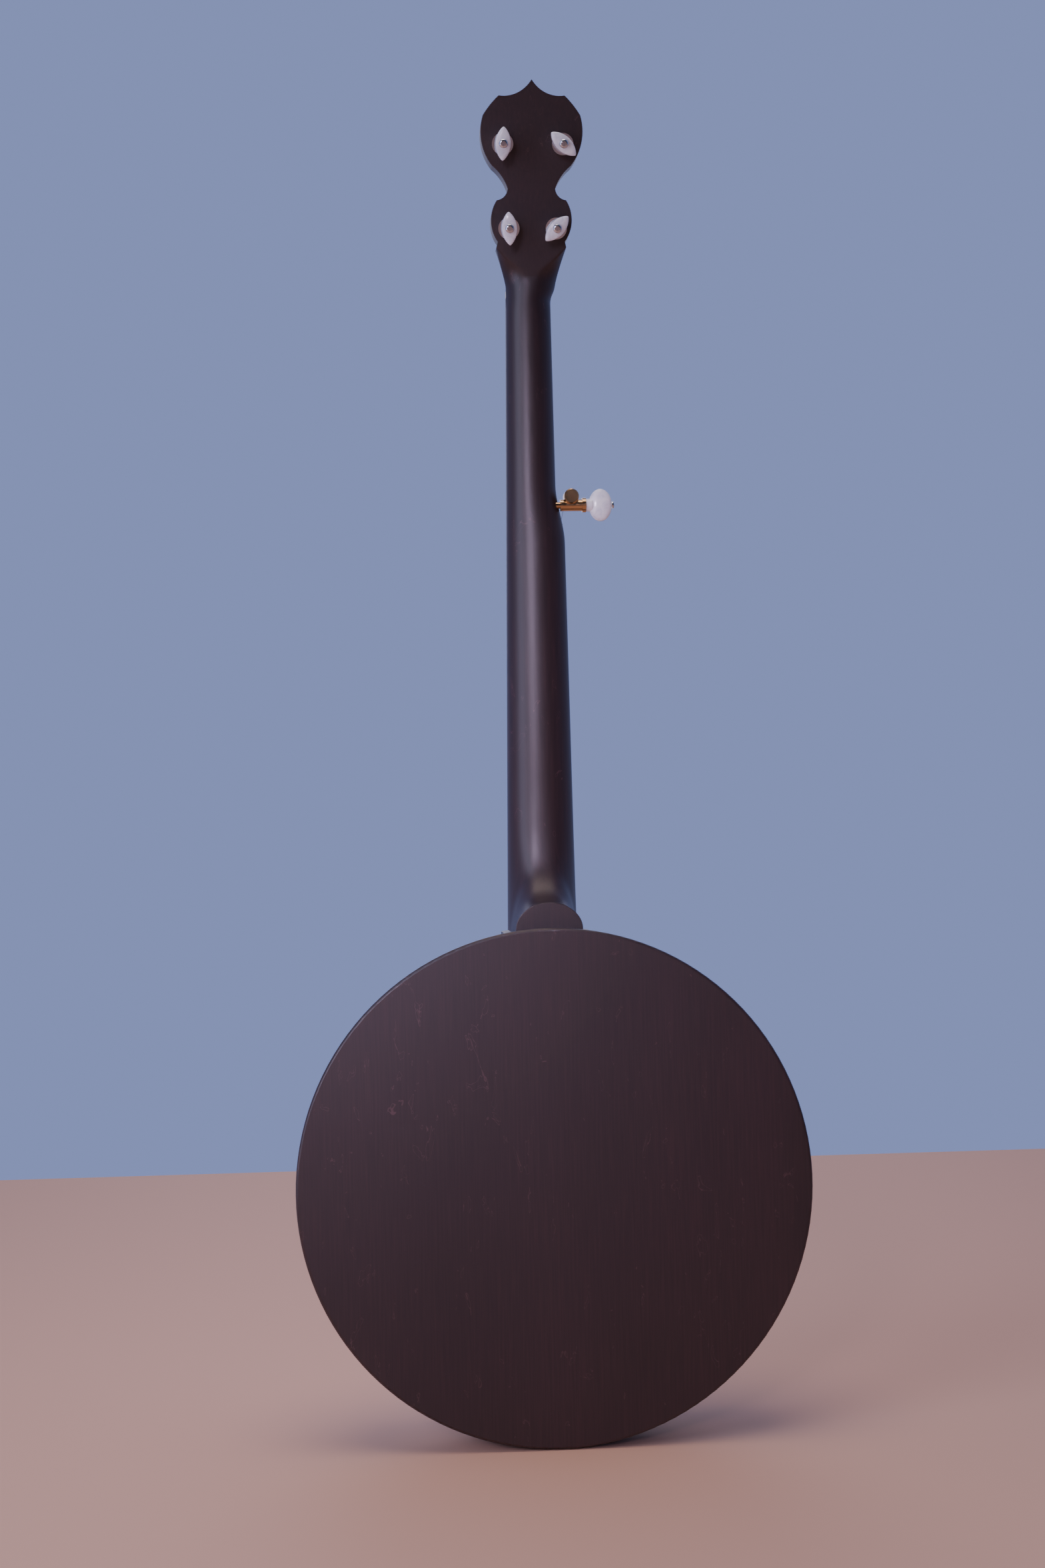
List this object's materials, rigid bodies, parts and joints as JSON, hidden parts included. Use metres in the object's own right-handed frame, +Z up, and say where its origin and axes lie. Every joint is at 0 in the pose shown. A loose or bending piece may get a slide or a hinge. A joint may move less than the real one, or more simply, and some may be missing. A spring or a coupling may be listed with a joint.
{
  "type": "banjo",
  "caption": "Five-string resonator banjo: flat-backed wooden resonator, round pot with white head, fretted neck with a side peg, and a fiddle-shaped peghead with planetary pegs.",
  "frame": {"origin": "centre of the resonator's flat back face", "axes": "+Z up the instrument from the pot to the peghead, +Y out of the resonator's back, so the head and strings face -Y and the fifth-string peg is on the -X side"},
  "size_m": [0.3556, 0.1016, 0.9471],
  "materials": {
    "walnut_stained_maple": "dark walnut stain under satin lacquer",
    "heel_cap_wood": "dark satin lacquer",
    "rim_maple": "satin lacquer",
    "rosewood": "oiled",
    "ebony": "oiled",
    "truss_cover_black": "polished",
    "pearl_inlay": "polished flush",
    "bone": null,
    "black_plastic": "moulded",
    "white_head": "sprayed frosted coat on polyester film",
    "bell_bronze": "turned",
    "nickel_plate": "bright nickel plate",
    "zinc_steel": "zinc plated",
    "nickel_silver": "dressed and polished",
    "string_steel": "drawn wire",
    "chrome_plate": "polished chrome plate",
    "pearl_plastic": "pearloid, polished",
    "gold_plate": "satin gold plate"
  },
  "bodies": {
    "root": {"armrest": "nickel_plate", "armrest_clamps": "nickel_plate", "bracket_hooks": "nickel_plate", "bracket_nuts": "nickel_plate", "bridge": "rim_maple", "bridge_cap": "ebony", "coordinator_rods": "zinc_steel", "fifth_cap": "gold_plate", "fifth_housing": "gold_plate", "fifth_string_nut": "black_plastic", "fingerboard": "rosewood", "flange": "nickel_plate", "flesh_hoop": "nickel_plate", "frets": "nickel_silver", "head": "white_head", "head_collar": "white_head", "heel_cap": "heel_cap_wood", "neck": "walnut_stained_maple", "nut": "bone", "position_markers": "pearl_inlay", "resonator_back": "walnut_stained_maple", "resonator_lugs": "nickel_plate", "resonator_side": "walnut_stained_maple", "rim": "rim_maple", "rod_nuts": "zinc_steel", "strings": "string_steel", "tailpiece": "nickel_plate", "tailpiece_bolt": "zinc_steel", "tension_hoop": "nickel_plate", "thumb_screws": "nickel_plate", "tone_ring": "bell_bronze", "truss_cover_screws": "zinc_steel", "truss_rod": "zinc_steel", "truss_rod_cover": "truss_cover_black", "tuner_housings": "chrome_plate", "tuner_nuts": "chrome_plate"},
    "knob_1": {"tuner_1_button": "pearl_plastic", "tuner_1_screw": "chrome_plate", "tuner_1_shaft": "zinc_steel"},
    "post_1": {"tuner_1_post": "chrome_plate", "tuner_1_planets": "zinc_steel"},
    "knob_2": {"tuner_2_button": "pearl_plastic", "tuner_2_screw": "chrome_plate", "tuner_2_shaft": "zinc_steel"},
    "post_2": {"tuner_2_post": "chrome_plate", "tuner_2_planets": "zinc_steel"},
    "knob_3": {"tuner_3_button": "pearl_plastic", "tuner_3_screw": "chrome_plate", "tuner_3_shaft": "zinc_steel"},
    "post_3": {"tuner_3_post": "chrome_plate", "tuner_3_planets": "zinc_steel"},
    "knob_4": {"tuner_4_button": "pearl_plastic", "tuner_4_screw": "chrome_plate", "tuner_4_shaft": "zinc_steel"},
    "post_4": {"tuner_4_post": "chrome_plate", "tuner_4_planets": "zinc_steel"},
    "fifth_knob": {"fifth_button": "pearl_plastic", "fifth_worm": "gold_plate", "fifth_screw": "chrome_plate"},
    "fifth_post": {"fifth_post": "gold_plate"}
  },
  "joints": [
    {"name": "knob_1_turn", "type": "hinge", "parent": "root", "child": "knob_1", "pos_m": [0.0177, -0.01856, 0.66634], "axis": [0, 0.9588, -0.284], "continuous": true},
    {"name": "post_1_turn", "type": "hinge", "parent": "root", "child": "post_1", "pos_m": [0.0177, -0.04936, 0.67547], "axis": [0, 0.9588, -0.284], "continuous": true},
    {"name": "knob_2_turn", "type": "hinge", "parent": "root", "child": "knob_2", "pos_m": [0.02205, -0.00234, 0.72109], "axis": [0, 0.9588, -0.284], "continuous": true},
    {"name": "post_2_turn", "type": "hinge", "parent": "root", "child": "post_2", "pos_m": [0.02205, -0.03314, 0.73022], "axis": [0, 0.9588, -0.284], "continuous": true},
    {"name": "knob_3_turn", "type": "hinge", "parent": "root", "child": "knob_3", "pos_m": [-0.02005, -0.00234, 0.72109], "axis": [0, 0.9588, -0.284], "continuous": true},
    {"name": "post_3_turn", "type": "hinge", "parent": "root", "child": "post_3", "pos_m": [-0.02005, -0.03314, 0.73022], "axis": [0, 0.9588, -0.284], "continuous": true},
    {"name": "knob_4_turn", "type": "hinge", "parent": "root", "child": "knob_4", "pos_m": [-0.0157, -0.01856, 0.66634], "axis": [0, 0.9588, -0.284], "continuous": true},
    {"name": "post_4_turn", "type": "hinge", "parent": "root", "child": "post_4", "pos_m": [-0.0157, -0.04936, 0.67547], "axis": [0, 0.9588, -0.284], "continuous": true},
    {"name": "fifth_knob_turn", "type": "hinge", "parent": "root", "child": "fifth_knob", "pos_m": [-0.0255, -0.0623, 0.4784], "axis": [-1, 0, 0], "continuous": true},
    {"name": "fifth_post_turn", "type": "hinge", "parent": "root", "child": "fifth_post", "pos_m": [-0.0255, -0.06203, 0.48449], "axis": [0, 0.999, -0.0436], "continuous": true}
  ],
  "couplings": [
    {"joint": "post_1_turn", "follows": "knob_1_turn", "ratio": 0.25},
    {"joint": "post_2_turn", "follows": "knob_2_turn", "ratio": 0.25},
    {"joint": "post_3_turn", "follows": "knob_3_turn", "ratio": 0.25},
    {"joint": "post_4_turn", "follows": "knob_4_turn", "ratio": 0.25},
    {"joint": "fifth_post_turn", "follows": "fifth_knob_turn", "ratio": 0.071429}
  ]
}
